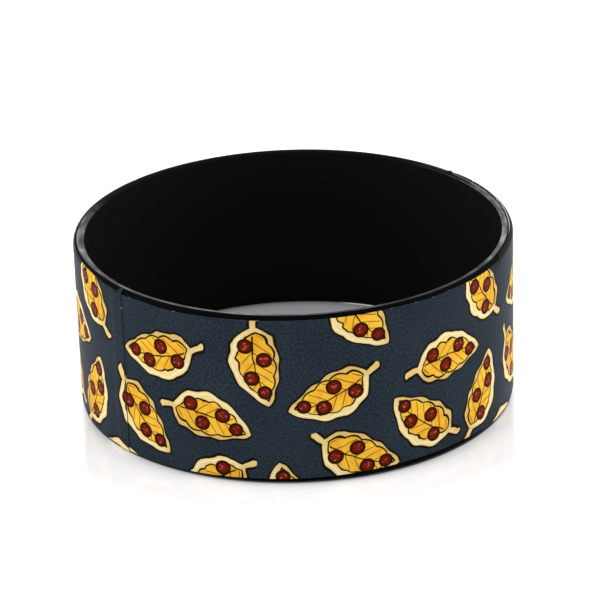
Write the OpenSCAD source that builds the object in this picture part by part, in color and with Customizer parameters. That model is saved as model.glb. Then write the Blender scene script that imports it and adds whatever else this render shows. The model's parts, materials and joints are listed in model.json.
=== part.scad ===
// Wide rubber bracelet: an endless moulded ring, with a thin printed film wrapped round its outside.
// It lies on its side with its lower rim on z = 0 and its axis on the Z axis.

/* [Ring] */
// Diameter of the wrist hole
hole_d = 61; // [50:0.5:75]
// Thickness of the rubber wall
wall_t = 1.5; // [1.2:0.1:3]
// Width of the ring along the wrist, which is its height as it lies
ring_w = 25.4; // [15:0.1:40]
// Radius of the outer shoulder at both rims
shoulder_r = 0.6; // [0.2:0.1:0.7]
// Radius of the inner edge at both rims
inner_edge_r = 0.15; // [0.05:0.05:0.3]

/* [Printed film] */
// Thickness of the film
film_t = 0.1; // [0.05:0.01:0.3]
// Glue line between the film and what it lies on
glue_t = 0.03; // [0.02:0.01:0.1]
// Bare rubber above the film
film_top_margin = 0.6; // [0.6:0.1:3]
// Bare rubber below the film
film_low_margin = 0.6; // [0.6:0.1:3]

/* [Seam] */
// Direction of the visible end of the film, from +X towards +Y
seam_angle = -139.4; // [-180:0.1:180]
// Length of film that lies over its own start
lap_len = 2; // [1:0.1:8]
// Length of the step by which the film climbs onto its start
step_len = 0.3; // [0.2:0.1:1]

/* [Hidden] */
$fn = 180;
// Slack that carries a cutting shape past the surface that it cuts
past = 0.5;
ring_r = hole_d / 2 + wall_t;
film_r = ring_r + glue_t;
layer_t = film_t + glue_t;
film_z = film_low_margin;
film_w = ring_w - film_low_margin - film_top_margin;
degrees_per_mm = 180 / (PI * film_r);
lap_turn = lap_len * degrees_per_mm;
step_turn = step_len * degrees_per_mm;
glue_turn = glue_t * degrees_per_mm;
film_start = seam_angle - lap_turn;

// What a rounded corner takes off: drawn for a corner at the origin whose body lies at -X and -Y
module corner_waste(r) {
    difference() {
        translate([-r, -r]) square(r + past);
        translate([-r, -r]) circle(r);
    }
}

module ring_section() {
    difference() {
        translate([hole_d / 2, 0]) square([wall_t, ring_w]);
        translate([ring_r, ring_w]) corner_waste(shoulder_r);
        translate([ring_r, 0]) mirror([0, 1]) corner_waste(shoulder_r);
        translate([hole_d / 2, ring_w]) mirror([1, 0]) corner_waste(inner_edge_r);
        translate([hole_d / 2, 0]) rotate(180) corner_waste(inner_edge_r);
    }
}

// The ring is turned with the film, so that the two keep their facets in line wherever they are meshed
module band() {
    color("#141416") rotate([0, 0, film_start]) rotate_extrude() ring_section();
}

// A wedge of the plane, under half a turn wide, that reaches past the film
module wedge(from, turn) {
    reach = 3 * ring_r;
    polygon([
        [0, 0],
        [reach * cos(from), reach * sin(from)],
        [reach * cos(from + turn / 2), reach * sin(from + turn / 2)],
        [reach * cos(from + turn), reach * sin(from + turn)]
    ]);
}

// A circular layer of film, seen from above, with an inner radius and a thickness
module layer(r, t) {
    difference() {
        circle(r + t);
        circle(r);
    }
}

// The first layer goes round once and ends in the step, which carries the second layer over its start
module film_outline() {
    step_start = film_start - glue_turn - step_turn;
    difference() {
        layer(film_r, film_t);
        wedge(step_start + step_turn / 2, glue_turn + step_turn / 2);
    }
    intersection() {
        layer(film_r, layer_t + film_t);
        wedge(step_start, step_turn);
    }
    intersection() {
        layer(film_r + layer_t, film_t);
        wedge(step_start + step_turn / 2, seam_angle - step_start - step_turn / 2);
    }
}

module print_film() {
    color("#323e48") translate([0, 0, film_z]) linear_extrude(film_w) film_outline();
}

band();
print_film();
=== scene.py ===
import json
import math

import bmesh
import bpy
from mathutils import Matrix, Vector


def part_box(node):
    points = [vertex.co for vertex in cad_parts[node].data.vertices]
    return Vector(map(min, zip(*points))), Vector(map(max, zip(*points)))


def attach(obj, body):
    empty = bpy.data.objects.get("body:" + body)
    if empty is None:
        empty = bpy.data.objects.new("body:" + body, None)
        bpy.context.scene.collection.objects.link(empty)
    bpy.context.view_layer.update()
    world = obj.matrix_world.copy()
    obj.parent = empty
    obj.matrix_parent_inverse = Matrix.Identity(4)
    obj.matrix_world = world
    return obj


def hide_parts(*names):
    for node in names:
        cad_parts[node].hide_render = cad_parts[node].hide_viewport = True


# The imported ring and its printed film, at their real size.
# Every size below is in metres unless its name or comment says otherwise.
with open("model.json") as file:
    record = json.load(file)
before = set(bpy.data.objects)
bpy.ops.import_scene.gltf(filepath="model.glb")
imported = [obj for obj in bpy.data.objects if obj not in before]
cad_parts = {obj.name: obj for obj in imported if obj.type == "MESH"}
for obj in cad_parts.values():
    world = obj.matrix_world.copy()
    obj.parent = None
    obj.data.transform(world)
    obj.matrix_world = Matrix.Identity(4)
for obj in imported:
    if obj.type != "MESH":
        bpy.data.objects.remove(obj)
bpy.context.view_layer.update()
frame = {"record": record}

MM = 0.001
_, ring_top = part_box("band")
RING_W = ring_top.z
RING_R = ring_top.y
HOLE_R = frame["record"]["mounts"][0]["dims"]["r_mm"] * MM

# Edges that turn by more than this many degrees stay sharp
SHARP_TURN = 30
# Corners closer than this are one corner, and corners this near to a place are at it
WELD = 0.001 * MM
NEAR = 0.01 * MM

# The moulded ring: how its edges are rounded, and what its mould left on the rim
RING_STEPS = 360
SHOULDER_R = 0.68 * MM
SHOULDER_STEPS = 10
INNER_EDGE_R = 0.15 * MM
INNER_EDGE_STEPS = 4
RIM_DISH = 0.11 * MM
DISH_REACH = 0.2 * MM
RIM_FACE_R = RING_R - 0.78 * MM
MOULD_LINE_R = RING_R - 0.73 * MM
MOULD_LINE_DEPTH = 0.05 * MM
FLASH_R = RING_R - 0.685 * MM
NUB_TURN = 39.9
NUB_R = RING_R - 0.4 * MM
NUB_REACH = 0.35 * MM
NUB_RISE = 0.17 * MM

# The rim's worn face, painted lighter as sheen: how deep it goes, how far it passes the flat face, and the
# blur of each edge.
# It is wider near -X, past this share of the radius.
WORN_DEPTH = 0.25 * MM
WORN_DEPTH_BLUR = 0.1 * MM
WORN_PAST = 0.08 * MM
WORN_PAST_BLUR = 0.06 * MM
WIDER_FROM = 0.85
WIDER_BY = 2 * MM

# The wear runs in streaks: its pattern is drawn out along the rim, as on a ring of this radius, and is this
# many times as tight across it. Broader patches lie over the streaks.
STREAK_R = RING_R / 4
STREAK_SPREAD = 1.6
STREAK_CONTRAST = 1.7
PATCH_CONTRAST = 1.1
RIM_SHINE = 0.66
RIM_DUST = 0.02

# Spots where the rim is rubbed dull, and its pale dust cut back as painted shade: degrees round the ring,
# half their width, the blur of their ends in degrees, and the shine and dust lost
DULL_AND_SHADED_SPOTS = ((-135, 20, 16, 0.3), (-62, 28, 20, 0.68), (20, 12, 16, 0.3), (105.5, 63, 26, 1.0))

# The film: one strip wrapped round the ring, lapping over its own start
FILM_T = 0.1 * MM
GLUE_T = 0.03 * MM
FILM_R = RING_R + GLUE_T
SEAM_TURN = -139.4
LAP_LEN = 2 * MM
STEP_LEN = 0.6 * MM
LIFTED_LEN = 0.5 * MM
LIFT = 0.012 * MM
FILM_TURN = 360 + math.degrees(LAP_LEN / FILM_R)
FILM_START = SEAM_TURN - FILM_TURN + 360
FILM_LEN = math.radians(FILM_TURN) * FILM_R
FILM_W = 24.7 * MM

# How the strip is divided: columns along it, rows near each long edge in millimetres, and even rows between
FILM_COLUMNS = 400
EDGE_ROWS = (0.15, 0.3, 0.45, 0.6, 0.75, 0.9, 1.2, 2)
MIDDLE_ROWS = 6

# Where the film's two long edges run, in degrees round the ring from +X and in millimetres up the wall.
# Past the straight wall the height goes on along the rounded shoulder.
TOP_EDGE = (
    (-143, 24.7), (-131, 24.9), (-126, 24.75), (-104, 24.87), (-80, 24.95), (-63, 25.05), (-54, 24.95),
    (-48, 25.05), (-35, 24.95), (-24, 24.9), (-22.5, 25.4), (-12, 25.6), (8, 25.68), (20, 25.6),
    (34, 25.35), (40, 25.05), (180, 25.2), (205, 25.2), (214, 25.0), (219, 24.92), (219.7, 25.5),
    (221, 25.55),
)
LOW_EDGE = (
    (-143, 0.25), (-128, 0.36), (-115, 0.48), (-104, 0.62), (-92, 0.68), (-82, 0.78), (-71, 0.94),
    (-60, 1.02), (-52, 0.96), (-44, 0.98), (-38, 0.8), (-30, 0.4), (0, 0.3), (90, 0.36), (180, 0.28),
    (221, 0.22),
)

# The studio's white sweep: how bright it is, and how high its bright part goes, as the sine of its elevation.
# The side where the camera stands is dimmer.
FRONT_GLOW = 2.6
FRONT_TOP = 0.62
FRONT_BLUR = 0.2
CAMERA_SIDE_LOSS = 0.8
CAMERA_SIDE = 0.6
CAMERA_SIDE_BLUR = 0.3
DIM_GLOW = 0.82

# The part of the sweep behind the ring, which is dimmer at its foot
BEHIND_FROM = 0.5
BEHIND_BLUR = 0.25
BACK_GLOW = 1.5
BACK_TOP = 0.55
BACK_TOP_BLUR = 0.08
BACK_FOOT = 0.24
BACK_FOOT_BLUR = 0.2
BACK_FOOT_LOSS = 0.5
BACK_DIM_GLOW = 0.05

# The table
TABLE_SIZE = 4
TABLE_ROUGHNESS = 0.05
TABLE_SHINE = 0.2
TABLE_WHITE = (0.885, 0.887, 0.925, 1)
# The table's colour in its painted shadow at the wall's foot
TABLE_PAINTED_SHADE = (0.1, 0.1, 0.1, 1)
RING_EDGE_BLUR = 0.1 * MM

# The table's own glow, with a painted shadow in it: before the ring it starts dark at the wall and grows over
# a short way, longer where the wall turns to the sides and shorter in front. Inside the hole the table's
# colour is painted darker near the wall as shadow, and the dark line where they touch, also painted shadow,
# has a fade of its own.
TABLE_GLOW = 0.36
SIDE_FADE = 2.3 * MM
FRONT_FADE = 1.2 * MM
HOLE_FADE = 0.8 * MM
CONTACT_FADE = 0.35 * MM
CONTACT_LOSS = 0.7

# These act on the cosine of a place's direction from -Y, where the camera stands: where the front begins,
# and how fast the front and the shade come in
FRONT_FROM = 0.7
FRONT_PACE = 4
SHADE_PACE = 3

# This painted shade lies only before the ring, as if the light came from behind, and goes on faintly up to
# this far from it
SHADE_SIDE = RING_R - 0.4 * MM
SHADE_SIDE_BLUR = 1.6 * MM
FAINT_REACH = 9 * MM
FAINT_BLUR = 4 * MM
FAINT_LOSS = 0.42

# Everywhere else the table's glow is painted a little brighter near the wall, as painted light, and shows no
# shade
BESIDE_GLOW = 0.46
BESIDE_FADE = 9 * MM

# A painted glint of light in the table's glow under the back rim: how far inside the hole's edge it lies, and
# where, in degrees
GLEAM_INSET = 0.1 * MM
GLEAM_HALF_W = 0.2 * MM
GLEAM_BLUR = 0.15 * MM
GLEAM_TURN = 70
GLEAM_HALF_TURN = 5
GLEAM_TURN_BLUR = 4

# The camera: its place, its lens and sensor in millimetres, and its turns in degrees
CAMERA_AT = (0, -0.43478, 0.20686)
CAMERA_PAN = -0.095
CAMERA_TILT = 66.056
CAMERA_ROLL = -1.792
CAMERA_LENS = 193.38
CAMERA_SENSOR = 36
CAMERA_CLIP = 0.01


def colour(red, green, blue):
    """A colour given as it shows on a screen, from 0 to 255, in the linear scale that materials use."""
    def linear(part):
        part = part / 255
        return part / 12.92 if part < 0.04045 else ((part + 0.055) / 1.055) ** 2.4
    return linear(red), linear(green), linear(blue), 1


BLACK = (0, 0, 0, 1)
WHITE = (1, 1, 1, 1)

# The rubber: its uncovered skin, the inner wall, the rim's face and the dust on it. The skin and the inner
# wall are darker and lighter copies of one rubber, as painted shade and painted reflection; the rim's face is
# painted lighter as sheen
RUBBER = colour(7, 7, 8)
RUBBER_INSIDE_PAINTED_REFLECTION = colour(18, 18, 20)
RUBBER_RIM_SHEEN = colour(19, 16, 19)
RIM_DUST_COLOUR = colour(172, 154, 166)

# The film's cut edge, and the pale nicks in it
CUT_EDGE = colour(62, 69, 76)
CUT_EDGE_NICK = colour(224, 224, 216)

# The print: golden leaves with a cream margin and dark red berries on them, on slate
SLATE = colour(27, 36, 44)
SLATE_WORN = colour(49, 59, 68)
INK = colour(26, 18, 6)
CREAM = colour(233, 208, 144)
CREAM_PALE = colour(244, 234, 196)
CREAM_DEEP = colour(210, 178, 104)
GOLD = colour(240, 191, 61)
GOLD_DEEP = colour(224, 158, 38)
VEIN = colour(112, 44, 12)
BERRY = colour(116, 28, 8)
BERRY_DEEP = colour(84, 14, 4)
BERRY_FLECK = colour(184, 100, 76)

# How the slate's grain swings between its two colours, with a slow drift along the strip
GRAIN_CONTRAST = 3.6
GRAIN_DRIFT = 0.6
GRAIN_LEVEL = 0.37

# Where the film lies over the rim's shoulder, in millimetres along it and down from its top edge: the print
# is painted over with a dark neutral grey band, and with a pale line at the very edge
MARGIN_AT = 82.0
MARGIN_HALF_LEN = 18.0
MARGIN_END_BLUR = 3
DARK_MARGIN_W = 0.85
DARK_MARGIN_BLUR = 0.15
DARK_MARGIN = colour(27, 25, 26)
PALE_LINE_AT = 87.2
PALE_LINE_HALF_LEN = 10.5
PALE_LINE_END_BLUR = 4
PALE_LINE_W = 0.14
PALE_LINE_BLUR = 0.04
PALE_LINE = colour(180, 174, 174)

# One repeat of the print, in millimetres: how far along and up each sprig sits, its turn in degrees,
# and -1 where it is a mirror image
REPEAT = 67.0
SPRIGS = (
    (0.8, -2.6, 0, 1), (5.4, 6.5, 311, -1), (8.7, 17.3, 191, 1), (16.6, -1.5, 219, -1), (16.9, 9.1, 345, 1),
    (23.9, 17.6, 279, -1), (27.8, -3.7, 106, 1), (38.0, 2.4, 334, -1), (34.3, 12.5, 204, 1),
    (38.4, 24.3, 305, -1), (47.9, 5.9, 141, 1), (53.2, 14.7, 0, 1), (60.4, 22.6, 125, 1),
    (60.6, 6.3, 65, -1),
)
# The strip is far narrower than this, so the print repeats only along it
NO_REPEAT = 1000

# The sizes of a sprig, in millimetres
SPRIG_HALF_LEN = 7.3
SPRIG_HALF_W = 4.3
INK_W = 0.32
LINE_W = 0.27
EDGE_BLUR = 0.08

# The leaf: its outline is bent and tapered, has waves, and wavers as if drawn by hand
LEAF_HALF_LEN = 6.3
LEAF_HALF_W = 3.4
LEAF_BEND = 0.022
LEAF_BEND_BACK = 8
LEAF_TAPER = 0.045
WAVE_DEPTH = 0.13
WAVE_TURN = 1.9
WAVE_START = 0.4
WOBBLE_SCALE = 0.6
LEAF_WOBBLE = 0.45

# Its stalk is a little thinner towards the leaf
STALK_X = -6.9
STALK_HALF_LEN = 0.8
STALK_HALF_W = 0.3
STALK_TAPER = 0.02
STALK_TRIM = 0.14

# Its cream margin: how it pales up the leaf, and the glint on its upper side
CREAM_RISE = 0.35
CREAM_WOBBLE = 1.5
GLINT_AT = 0.38
GLINT_HALF_W = 0.09
GLINT_BLUR = 0.1
GLINT_RISE = 0.8
GLINT_STRENGTH = 0.7

# Its golden blade inside the margin, with a lobed outline: how it deepens, and its veins
MARGIN_W = 0.56
MARGIN_SHIFT = 0.34
LOBE_DEPTH = 0.34
LOBE_TURN = 1.25
BLADE_WOBBLE = 0.6
BLUSH_WOBBLE = 1.8
BLUSH_SLOPE = 0.06
BLUSH_LEVEL = 0.4
VEIN_GAP = 1.5
VEIN_SLANT = 0.9
VEIN_HALF_W = 0.1
VEIN_STRENGTH = 0.8
VEIN_INSET = 0.15
VEIN_INSET_BLUR = 0.2

# Its berries, as their place on the leaf and their radius: darker at their edge, with pale flecks inside
BERRIES = ((-3.3, 0.95, 0.9), (-0.9, -1.3, 0.9), (1.7, 0.95, 0.9), (4.1, -0.5, 0.8))
BERRY_RISE = 1.5
FLECK_FROM = 0.6
FLECK_BLUR = 0.06
FLECK_INSET = 0.25
FLECK_INSET_BLUR = 0.12
FLECK_STRENGTH = 0.7


def only(piece):
    """Selects one piece alone and makes it the one that is worked on."""
    bpy.ops.object.select_all(action="DESELECT")
    piece.select_set(True)
    bpy.context.view_layer.objects.active = piece


def pick(piece, test):
    """While editing, selects the corners whose place passes the test, with what lies between them."""
    mesh = bmesh.from_edit_mesh(piece.data)
    for corner in mesh.verts:
        corner.select_set(bool(test(corner.co)))
    mesh.select_flush_mode()
    bmesh.update_edit_mesh(piece.data)


def edit(piece):
    """Opens one piece for editing, with nothing selected."""
    only(piece)
    bpy.ops.object.mode_set(mode="EDIT")
    bpy.ops.mesh.select_mode(type="VERT")
    bpy.ops.mesh.select_all(action="DESELECT")


def done_editing():
    """Closes the piece that was open for editing."""
    bpy.ops.object.mode_set(mode="OBJECT")


def named(name):
    """Names the piece that was just added."""
    piece = bpy.context.active_object
    piece.name = name
    piece.data.name = name
    return piece


def between(table, turn):
    """The value of a table of (turn, value) rows at a turn, on straight lines between its rows."""
    for (turn_a, value_a), (turn_b, value_b) in zip(table, table[1:]):
        if turn <= turn_b:
            share = max(0, (turn - turn_a) / (turn_b - turn_a))
            return value_a + share * (value_b - value_a)
    return table[-1][1]


def ramp(value, start, length):
    """0 up to the start, then rising to 1 over the length."""
    return min(max((value - start) / length, 0), 1)


class Wire:
    """A socket in a material, which takes part in sums. Each sum adds its own nodes."""

    def __init__(self, tree, socket=None):
        self.tree = tree
        self.socket = socket

    def node(self, kind, settings=None, values=None, output=None):
        """Adds a node of any kind: its settings, values or wires for its sockets, and the result to use."""
        made = self.tree.nodes.new(kind)
        for name, setting in (settings or {}).items():
            setattr(made, name, setting)
        for name, value in (values or {}).items():
            socket = next(s for s in made.inputs if name in (s.identifier, s.name))
            if isinstance(value, Wire):
                self.tree.links.new(value.socket, socket)
            else:
                socket.default_value = value
        results = [s for s in made.outputs if output in (None, s.identifier, s.name)]
        return Wire(self.tree, results[0] if results else None)

    def math(self, operation, other=0.0, clamp=False):
        settings = {"operation": operation, "use_clamp": clamp}
        return self.node("ShaderNodeMath", settings, {"Value": self, "Value_001": other})

    def __add__(self, other):
        return self.math("ADD", other)

    def __radd__(self, other):
        return self.math("ADD", other)

    def __sub__(self, other):
        return self.math("SUBTRACT", other)

    def __rsub__(self, other):
        settings = {"operation": "SUBTRACT"}
        return self.node("ShaderNodeMath", settings, {"Value": other, "Value_001": self})

    def __mul__(self, other):
        return self.math("MULTIPLY", other)

    def __truediv__(self, other):
        return self.math("DIVIDE", other)

    def __pow__(self, other):
        return self.math("POWER", other)

    def __abs__(self):
        return self.math("ABSOLUTE")

    def __lt__(self, other):
        return self.math("LESS_THAN", other)

    def least(self, other):
        return self.math("MINIMUM", other)

    def most(self, other):
        return self.math("MAXIMUM", other)

    def held(self):
        """This value, held between 0 and 1."""
        return self.math("ADD", 0.0, clamp=True)

    def falloff(self, reach):
        """1 where this value is 0, and falling towards 0 below it, at the pace of the reach."""
        return (self / reach).math("EXPONENT")

    def within(self, limit, blur):
        """A mask: 1 where this value is under the limit, fading to 0 over the blur."""
        return ((limit - self) / blur).math("ADD", 0.5, clamp=True)

    def colour_mix(self, under, over):
        """The colour over where this mask is 1, and the colour under where it is 0."""
        values = {"Factor_Float": self, "A_Color": under, "B_Color": over}
        return self.node("ShaderNodeMix", {"data_type": "RGBA"}, values, "Result_Color")

    def part(self, axis):
        """One number of this vector: its X, Y or Z."""
        return self.node("ShaderNodeSeparateXYZ", {}, {"Vector": self}, axis)

    def vector(self, operation, other):
        """A sum of this vector and another."""
        values = {"Vector": self, "Vector_001": other}
        return self.node("ShaderNodeVectorMath", {"operation": operation}, values, "Vector")

    def length(self):
        return self.node("ShaderNodeVectorMath", {"operation": "LENGTH"}, {"Vector": self}, "Value")

    def distance(self, point):
        values = {"Vector": self, "Vector_001": point}
        return self.node("ShaderNodeVectorMath", {"operation": "DISTANCE"}, values, "Value")

    def radius(self):
        """How far this place is from the ring's axis."""
        return self.vector("MULTIPLY", (1, 1, 0)).length()

    def noise(self, scale, detail, roughness=0.5):
        """A cloudy pattern over this place, about 0.5 on average."""
        values = {"Vector": self, "Scale": scale, "Detail": detail, "Roughness": roughness}
        return self.node("ShaderNodeTexNoise", {}, values)

    def bump(self, strength):
        """The small relief of this height on a skin."""
        values = {"Strength": strength, "Distance": 0.02 * MM, "Height": self}
        return self.node("ShaderNodeBump", {}, values)


def new_material(name):
    material = bpy.data.materials.new(name)
    material.use_nodes = True
    material.node_tree.nodes.clear()
    return material, Wire(material.node_tree)


def finish_material(wire, values):
    """The main shader, with its values or wires, led to the material's output."""
    shader = wire.node("ShaderNodeBsdfPrincipled", {}, values)
    wire.node("ShaderNodeOutputMaterial", {}, {"Surface": shader})


def turn_of(x, y):
    """The direction of a place, in degrees round the ring from +X."""
    return y.math("ARCTAN2", x) * (180 / math.pi)


def nearest_sprig(place):
    """Where a point of the print lies in the frame of the sprig that it belongs to."""
    nearest, at = None, None
    ends = {"Vector_001": (REPEAT / 2, NO_REPEAT / 2, 1), "Vector_002": (-REPEAT / 2, -NO_REPEAT / 2, -1)}
    for along, up, turn, mirror in SPRIGS:
        away = place.vector("SUBTRACT", (along, up, 0))
        away = place.node("ShaderNodeVectorMath", {"operation": "WRAP"}, {"Vector": away, **ends})
        placing = {"Vector": away, "Rotation": (0, 0, math.radians(turn)), "Scale": (1, mirror, 1)}
        local = place.node("ShaderNodeMapping", {"vector_type": "TEXTURE"}, placing)
        reach = local.vector("MULTIPLY", (1 / SPRIG_HALF_LEN, 1 / SPRIG_HALF_W, 0)).length()
        if nearest is None:
            nearest, at = reach, local
            continue
        closer = {"Factor_Float": reach < nearest, "A_Vector": at, "B_Vector": local}
        at = place.node("ShaderNodeMix", {"data_type": "VECTOR"}, closer, "Result_Vector")
        nearest = reach.least(nearest)
    return at


def leaf_depth(x, y):
    """Signed distance from the leaf's outline, under 0 inside: two arcs that meet in a point at each end."""
    reach = LEAF_HALF_LEN ** 2 / LEAF_HALF_W
    arc_r = (reach + LEAF_HALF_W) / 2
    off_axis = (reach - LEAF_HALF_W) / 2
    return (x ** 2.0 + (abs(y) + off_axis) ** 2.0) ** 0.5 - arc_r


def stalk_depth(x, y):
    """Signed distance from the stalk's outline, under 0 inside."""
    past_end = (abs(x - STALK_X) - STALK_HALF_LEN).most(0)
    return (past_end ** 2.0 + y ** 2.0) ** 0.5 - STALK_HALF_W + x * STALK_TAPER + STALK_TRIM


def berry_depth(local):
    """Signed distance from the nearest berry's outline, under 0 inside."""
    depth = None
    for berry_x, berry_y, berry_r in BERRIES:
        away = local.distance((berry_x, berry_y, 0)) - berry_r
        depth = away if depth is None else depth.least(away)
    return depth


def paint_margin(paint, leaf, stalk, y, wobble):
    """The leaf's cream margin and stalk, with a glint along the upper side."""
    pale = (y * CREAM_RISE + wobble * CREAM_WOBBLE + 0.5).held()
    cream = pale.colour_mix(CREAM_DEEP, CREAM)
    paint = leaf.least(stalk).within(0, EDGE_BLUR).colour_mix(paint, cream)
    glint = abs(leaf + GLINT_AT).within(GLINT_HALF_W, GLINT_BLUR) * (y * GLINT_RISE).held()
    return (glint * GLINT_STRENGTH).colour_mix(paint, CREAM_PALE)


def paint_blade(paint, x, y, wobble):
    """The golden blade of the leaf, in ink outline, with slanted veins and a dark midrib."""
    lobes = (1 - abs((x * LOBE_TURN + 1).math("SINE"))) * LOBE_DEPTH
    blade = leaf_depth(x, y + MARGIN_SHIFT) + MARGIN_W + lobes + wobble * BLADE_WOBBLE
    paint = blade.within(0, EDGE_BLUR).colour_mix(paint, INK)
    blush = (wobble * BLUSH_WOBBLE - x * BLUSH_SLOPE + BLUSH_LEVEL).held()
    paint = blade.within(-LINE_W, EDGE_BLUR).colour_mix(paint, blush.colour_mix(GOLD, GOLD_DEEP))
    inside = blade.within(-LINE_W - VEIN_INSET, VEIN_INSET_BLUR)
    vein = abs(((x - abs(y) * VEIN_SLANT) / VEIN_GAP).math("FRACT") - 0.5) * VEIN_GAP
    veins = vein.within(VEIN_HALF_W, EDGE_BLUR) * inside * VEIN_STRENGTH
    midrib = abs(y).within(VEIN_HALF_W, EDGE_BLUR) * inside
    return midrib.colour_mix(veins.colour_mix(paint, VEIN), INK)


def paint_berries(paint, place, berries):
    """The berries, in ink outline."""
    paint = berries.within(LINE_W, EDGE_BLUR).colour_mix(paint, INK)
    ripe = (berries * -BERRY_RISE).held()
    paint = berries.within(0, EDGE_BLUR).colour_mix(paint, ripe.colour_mix(BERRY_DEEP, BERRY))
    spotted = 1 - place.noise(scale=2.3, detail=1).within(FLECK_FROM, FLECK_BLUR)
    flecks = spotted * berries.within(-FLECK_INSET, FLECK_INSET_BLUR) * FLECK_STRENGTH
    return flecks.colour_mix(paint, BERRY_FLECK)


def print_colour(place, ground):
    """The colour of the print on its ground, at a place in millimetres along and up the film."""
    local = nearest_sprig(place)
    wobble = place.noise(scale=WOBBLE_SCALE, detail=1) - 0.5
    x = local.part("X")
    bent = local.part("Y") + x * x * LEAF_BEND - LEAF_BEND * LEAF_BEND_BACK
    y = bent * (x * LEAF_TAPER + 1) + wobble * LEAF_WOBBLE
    waves = (x * WAVE_TURN + WAVE_START).math("SINE") * WAVE_DEPTH
    leaf = leaf_depth(x, y) + waves
    stalk = stalk_depth(x, y)
    berries = berry_depth(local)
    sprig = leaf.least(berries).least(stalk)
    paint = sprig.within(INK_W, EDGE_BLUR).colour_mix(ground, INK)
    paint = paint_margin(paint, leaf, stalk, y, wobble)
    paint = paint_blade(paint, x, y, wobble)
    return paint_berries(paint, place, berries)


def film_material():
    """Satin printed film. Its UV map is the flat strip, from 0 to 1 along and up."""
    material, wire = new_material("satin_print")
    strip = wire.node("ShaderNodeTexCoord", {}, {}, "UV")
    place = strip.vector("MULTIPLY", (FILM_LEN / MM, FILM_W / MM, 1))
    fine = place.noise(scale=3, detail=3, roughness=0.7)
    drift = place.noise(scale=0.12, detail=1)
    grain = ((fine - 0.5) * GRAIN_CONTRAST + (drift - 0.5) * GRAIN_DRIFT + GRAIN_LEVEL).held()
    paint = print_colour(place, grain.colour_mix(SLATE, SLATE_WORN))
    along = place.part("X")
    down = FILM_W / MM - place.part("Y")
    # Over the shoulder the film is painted a dark neutral grey down from its top edge, with a pale line at
    # the very edge
    margin = down.within(DARK_MARGIN_W, DARK_MARGIN_BLUR)
    margin = margin * abs(along - MARGIN_AT).within(MARGIN_HALF_LEN, MARGIN_END_BLUR)
    paint = margin.colour_mix(paint, DARK_MARGIN)
    pale_line = down.within(PALE_LINE_W, PALE_LINE_BLUR) * abs(along - PALE_LINE_AT).within(PALE_LINE_HALF_LEN, PALE_LINE_END_BLUR)
    finish_material(wire, {
        "Base Color": pale_line.colour_mix(paint, PALE_LINE),
        "Roughness": 0.42 + (fine - 0.5) * 0.12,
        "Specular IOR Level": 0.02,
        "Normal": place.noise(scale=2.2, detail=2).bump(0.15),
    })
    return material


def cut_edge_material():
    """The cut edge of the film: dark, with pale nicks where the knife tore it."""
    material, wire = new_material("film_cut_edge")
    place = wire.node("ShaderNodeTexCoord", {}, {}, "Object")
    nicks = 1 - place.noise(scale=900, detail=2).within(0.65, 0.04)
    finish_material(wire, {
        "Base Color": nicks.colour_mix(CUT_EDGE, CUT_EDGE_NICK),
        "Roughness": 0.5,
        "Specular IOR Level": 0.3,
    })
    return material


def worn_and_sheen_face(x, away, height):
    """A mask of the rim's flat upper face, where the rubber is worn and painted lighter as sheen."""
    wider = (x / -RING_R - WIDER_FROM).most(0) * WIDER_BY
    upper = 1 - height.within(RING_W - WORN_DEPTH, WORN_DEPTH_BLUR)
    return upper * (away - wider).within(RIM_FACE_R + WORN_PAST, WORN_PAST_BLUR)


def dull_and_shaded_share(turn):
    """How much of the rim's shine, and of its dust as painted shade, is left at a turn."""
    share = 1
    for worn_at, half_width, blur, loss in DULL_AND_SHADED_SPOTS:
        share = share - abs(turn - worn_at).within(half_width, blur) * loss
    return share


def rubber_material():
    """Black moulded rubber: near-black with a soft satin skin, dusty and worn on the rim. Its skin is painted
    darker as shade and its inner wall lighter as reflection; the rim's face is painted lighter as sheen, and
    the rim's dust is cut back as painted shade round part of the ring.
    """
    material, wire = new_material("black_moulded_rubber")
    place = wire.node("ShaderNodeTexCoord", {}, {}, "Object")
    x = place.part("X")
    y = place.part("Y")
    height = place.part("Z")
    away = place.radius()
    across = away + RING_W - height
    drawn_out = {"X": x / away * STREAK_R, "Y": y / away * STREAK_R, "Z": across * STREAK_SPREAD}
    streaks = wire.node("ShaderNodeCombineXYZ", {}, drawn_out).noise(scale=900, detail=3, roughness=0.6)
    patches = place.noise(scale=260, detail=2)
    wear = (streaks - 0.5) * STREAK_CONTRAST + (patches - 0.5) * PATCH_CONTRAST
    on_rim = worn_and_sheen_face(x, away, height)
    # Round part of the ring the rim's dust is cut back where the rim shows darker, as painted shade, and its
    # shine is dulled
    dull_and_shaded = dull_and_shaded_share(turn_of(x, y))
    shaded_dust = (wear + RIM_DUST).held() * on_rim * dull_and_shaded
    # The inner wall is a lighter copy of the rubber, as painted reflection; the skin outside is the darker
    # copy, as painted shade
    inside = away.within(HOLE_R + 0.1 * MM, 0.1 * MM)
    paint = inside.colour_mix(RUBBER, RUBBER_INSIDE_PAINTED_REFLECTION)
    # The rim's face is painted lighter and purplish, as sheen that tints its highlight
    paint = on_rim.colour_mix(paint, RUBBER_RIM_SHEEN)
    finish_material(wire, {
        "Base Color": shaded_dust.colour_mix(paint, RIM_DUST_COLOUR),
        "Roughness": 0.5 + (streaks - 0.5) * 0.2,
        "Specular IOR Level": 0.015,
        "Coat Weight": (RIM_SHINE + wear).held() * on_rim * dull_and_shaded,
        "Coat Roughness": 0.12,
        "Coat IOR": 1.6,
        "Normal": (place.noise(scale=2500, detail=2) + streaks).bump(0.3),
    })
    return material


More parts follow.
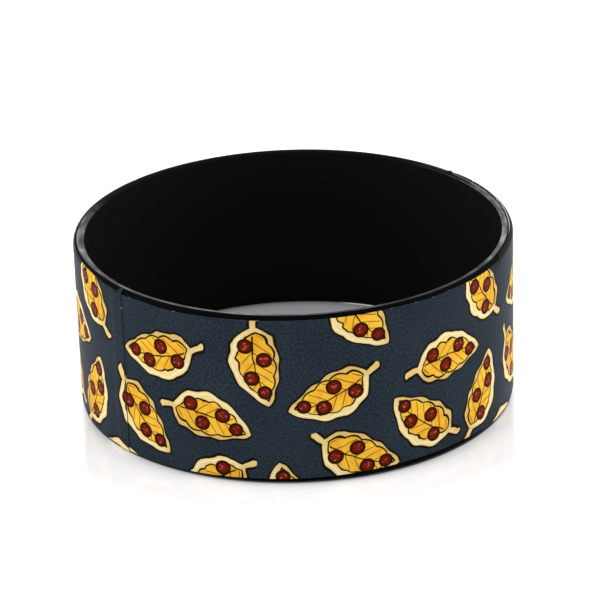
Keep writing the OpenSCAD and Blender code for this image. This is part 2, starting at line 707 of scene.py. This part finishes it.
def rounded_section():
    """The ring's section as a flat face that stands on +X, with its four corners rounded."""
    bpy.ops.mesh.primitive_plane_add(size=1)
    ring = named("moulded_ring")
    only(ring)
    middle_r = (RING_R + HOLE_R) / 2
    ring.scale = (RING_R - HOLE_R, RING_W, 1)
    ring.rotation_euler = (math.radians(90), 0, 0)
    ring.location = (middle_r, 0, RING_W / 2)
    bpy.ops.object.transform_apply(location=True, rotation=True, scale=True)
    edit(ring)
    pick(ring, lambda place: place.x > middle_r)
    bpy.ops.mesh.bevel(offset=SHOULDER_R, segments=SHOULDER_STEPS, affect="VERTICES")
    pick(ring, lambda place: place.x < middle_r)
    bpy.ops.mesh.bevel(offset=INNER_EDGE_R, segments=INNER_EDGE_STEPS, affect="VERTICES")
    return ring


def ring_section():
    """The section's closed outline, with both rims dished and marked by their mould line."""
    ring = rounded_section()
    for cut_r in (RIM_FACE_R, MOULD_LINE_R, FLASH_R, (HOLE_R + RIM_FACE_R) / 2):
        bpy.ops.mesh.select_all(action="SELECT")
        bpy.ops.mesh.bisect(plane_co=(cut_r, 0, 0), plane_no=(1, 0, 0))
    bpy.ops.mesh.select_all(action="SELECT")
    bpy.ops.mesh.dissolve_faces()
    bpy.ops.mesh.select_all(action="SELECT")
    bpy.ops.mesh.delete(type="ONLY_FACE")
    for side, rim_z in ((1, RING_W), (-1, 0)):
        pick(ring, lambda place: abs(place.z - rim_z) < DISH_REACH and place.x < HOLE_R + DISH_REACH)
        bpy.ops.transform.translate(value=(0, 0, -side * RIM_DISH))
        pick(ring, lambda place: abs(place.z - rim_z) < NEAR and abs(place.x - MOULD_LINE_R) < NEAR)
        bpy.ops.transform.translate(value=(0, 0, -side * MOULD_LINE_DEPTH))
    return ring


def moulded_ring():
    """The whole ring: its section spun once round, with the nub that the mould left on its rim."""
    ring = ring_section()
    bpy.ops.mesh.select_all(action="SELECT")
    bpy.ops.mesh.spin(steps=RING_STEPS, angle=math.tau, center=(0, 0, 0), axis=(0, 0, 1))
    bpy.ops.mesh.select_all(action="SELECT")
    bpy.ops.mesh.remove_doubles(threshold=WELD)
    bpy.ops.mesh.normals_make_consistent(inside=False)
    nub_at = Matrix.Rotation(math.radians(NUB_TURN), 3, "Z") @ Vector((NUB_R, 0, RING_W))
    pick(ring, lambda place: (place - nub_at).length < NUB_REACH)
    bpy.ops.transform.translate(value=(0, 0, NUB_RISE))
    done_editing()
    bpy.ops.object.shade_smooth_by_angle(angle=math.radians(SHARP_TURN))
    ring.data.materials.append(rubber_material())
    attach(ring, "root")
    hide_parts("band")
    return ring


def flat_strip():
    """The printed film as it is cut from the sheet, lying flat, with closer rows near its long edges."""
    bpy.ops.mesh.primitive_grid_add(x_subdivisions=FILM_COLUMNS, y_subdivisions=1, size=1)
    strip = named("printed_film")
    only(strip)
    strip.scale = (FILM_LEN, FILM_W, 1)
    strip.location = (FILM_LEN / 2, FILM_W / 2, 0)
    bpy.ops.object.transform_apply(location=True, rotation=True, scale=True)
    edit(strip)
    rows = [row * MM for row in EDGE_ROWS]
    rows += [FILM_W - row for row in rows]
    rows += [FILM_W * row / MIDDLE_ROWS for row in range(1, MIDDLE_ROWS)]
    for row in rows:
        bpy.ops.mesh.select_all(action="SELECT")
        bpy.ops.mesh.bisect(plane_co=(0, row, 0), plane_no=(0, 1, 0))
    done_editing()
    return strip


def on_wall(turn, climb, gap):
    """A point on the ring's outside: so far round, so far up the wall and its shoulders, so far off it."""
    straight_low, straight_high = SHOULDER_R, RING_W - SHOULDER_R
    past = max(climb - straight_high, 0) - max(straight_low - climb, 0)
    bend = past / SHOULDER_R
    round_r = SHOULDER_R + gap
    away = RING_R - SHOULDER_R + round_r * math.cos(bend)
    height = min(max(climb, straight_low), straight_high) + round_r * math.sin(bend)
    return Vector((away * math.cos(math.radians(turn)), away * math.sin(math.radians(turn)), height))


def film_gap(along):
    """How far the film lies off the rubber: at its end it climbs onto its own start, and lifts a little."""
    climbed = ramp(along, math.tau * FILM_R - STEP_LEN, STEP_LEN)
    lifted = ramp(along, FILM_LEN - LIFTED_LEN, LIFTED_LEN)
    return GLUE_T + climbed * (FILM_T + GLUE_T) + lifted * LIFT


def printed_film():
    """The strip wrapped round the ring, its edges trimmed as listed, and given its thickness."""
    strip = flat_strip()
    for corner in strip.data.vertices:
        along = corner.co.x
        turn = FILM_START + math.degrees(along / FILM_R)
        low = between(LOW_EDGE, turn) * MM
        high = between(TOP_EDGE, turn) * MM
        climb = low + corner.co.y / FILM_W * (high - low)
        corner.co = on_wall(turn, climb, film_gap(along))
    only(strip)
    strip.data.materials.append(film_material())
    strip.data.materials.append(cut_edge_material())
    body = strip.modifiers.new("thickness", "SOLIDIFY")
    body.thickness = FILM_T
    body.offset = 1
    body.use_even_offset = True
    body.material_offset_rim = 1
    bpy.ops.object.modifier_apply(modifier=body.name)
    bpy.ops.object.shade_smooth_by_angle(angle=math.radians(SHARP_TURN))
    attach(strip, "root")
    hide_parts("print_film")
    return strip


def floor_glow(place, clear, front):
    """The table's glow, as a share of the brightest: painted shade before the ring, painted light beside it,
    and a painted glint under the back rim.
    """
    x = place.part("X")
    y = place.part("Y")
    away = place.radius()
    ahead = y / away * -1
    # Painted shadow in the glow before the ring, fading out from the wall, with a faint tail
    wall_shade = (RING_R - away).falloff(front * (FRONT_FADE - SIDE_FADE) + SIDE_FADE)
    faint = ((away - RING_R) / FAINT_REACH).held()
    faint = faint * away.within(RING_R + FAINT_REACH, FAINT_BLUR) * FAINT_LOSS
    shaded = (ahead * SHADE_PACE).held() * abs(x).within(SHADE_SIDE, SHADE_SIDE_BLUR)
    lit = (1 - shaded * (1 - (1 - wall_shade) * (1 - faint))) * clear
    # A painted glint of light under the back rim
    gleam = abs(away - HOLE_R + GLEAM_INSET).within(GLEAM_HALF_W, GLEAM_BLUR)
    gleam = gleam * abs(turn_of(x, y) - GLEAM_TURN).within(GLEAM_HALF_TURN, GLEAM_TURN_BLUR)
    share = TABLE_GLOW / BESIDE_GLOW
    # Painted light: the glow rises near the wall wherever there is no painted shade
    near = (RING_R - away).falloff(BESIDE_FADE) * (1 - share)
    return lit.most(gleam) * share + clear * (1 - shaded) * near


def floor():
    """A white light table, slightly glossy and wider than the view. Under the ring it stays unlit; round the
    ring its colour and glow carry painted shadow and light.
    """
    bpy.ops.mesh.primitive_plane_add(size=TABLE_SIZE)
    table = named("floor")
    material, wire = new_material("white_table")
    place = wire.node("ShaderNodeTexCoord", {}, {}, "Object")
    away = place.radius()
    clear = 1 - away.within(RING_R, RING_EDGE_BLUR)
    front = ((place.part("Y") / away * -1 - FRONT_FROM) * FRONT_PACE).held()
    # Painted contact shadow: the table's colour darkens towards the wall's foot inside the hole, and before
    # the ring where they touch
    in_hole = (1 - (away - HOLE_R - INNER_EDGE_R).falloff(HOLE_FADE)).held()
    contact_shade = (RING_R - away).falloff(CONTACT_FADE) * front * CONTACT_LOSS
    shown = in_hole.most(clear * (1 - contact_shade))
    finish_material(wire, {
        "Base Color": shown.colour_mix(TABLE_PAINTED_SHADE, TABLE_WHITE),
        "Roughness": TABLE_ROUGHNESS,
        "Specular IOR Level": TABLE_SHINE,
        "Emission Color": floor_glow(place, clear, front).colour_mix(BLACK, WHITE),
        "Emission Strength": BESIDE_GLOW,
    })
    table.data.materials.append(material)
    return table


def studio():
    """A white sweep all round, bright near the table and dim overhead. Behind the ring its top is sharp."""
    world = bpy.data.worlds.new("studio")
    bpy.context.scene.world = world
    world.use_nodes = True
    world.node_tree.nodes.clear()
    wire = Wire(world.node_tree)
    way = wire.node("ShaderNodeTexCoord", {}, {}, "Generated")
    rise = way.part("Z")
    ahead = way.part("Y")
    camera_side = 1 - (ahead * -1).within(CAMERA_SIDE, CAMERA_SIDE_BLUR)
    glow = (1 - camera_side * CAMERA_SIDE_LOSS) * FRONT_GLOW
    front = rise.within(FRONT_TOP, FRONT_BLUR) * (glow - DIM_GLOW) + DIM_GLOW
    foot = 1 - rise.within(BACK_FOOT, BACK_FOOT_BLUR) * BACK_FOOT_LOSS
    back = rise.within(BACK_TOP, BACK_TOP_BLUR) * foot * BACK_GLOW + BACK_DIM_GLOW
    behind = 1 - ahead.within(BEHIND_FROM, BEHIND_BLUR)
    strength = front + behind * (back - front)
    sky = wire.node("ShaderNodeBackground", {}, {"Color": WHITE, "Strength": strength})
    wire.node("ShaderNodeOutputWorld", {}, {"Surface": sky})


def camera():
    """The camera at the photograph's angle."""
    view = bpy.data.cameras.new("camera")
    view.sensor_width = CAMERA_SENSOR
    view.lens = CAMERA_LENS
    view.clip_start = CAMERA_CLIP
    holder = bpy.data.objects.new("camera", view)
    bpy.context.scene.collection.objects.link(holder)
    aim = Matrix.Rotation(math.radians(CAMERA_PAN), 4, "Z")
    aim @= Matrix.Rotation(math.radians(CAMERA_TILT), 4, "X")
    aim @= Matrix.Rotation(math.radians(CAMERA_ROLL), 4, "Z")
    holder.matrix_world = Matrix.Translation(CAMERA_AT) @ aim
    bpy.context.scene.camera = holder


camera()
studio()
floor()
moulded_ring()
printed_film()
bpy.context.scene.view_settings.view_transform = "Standard"
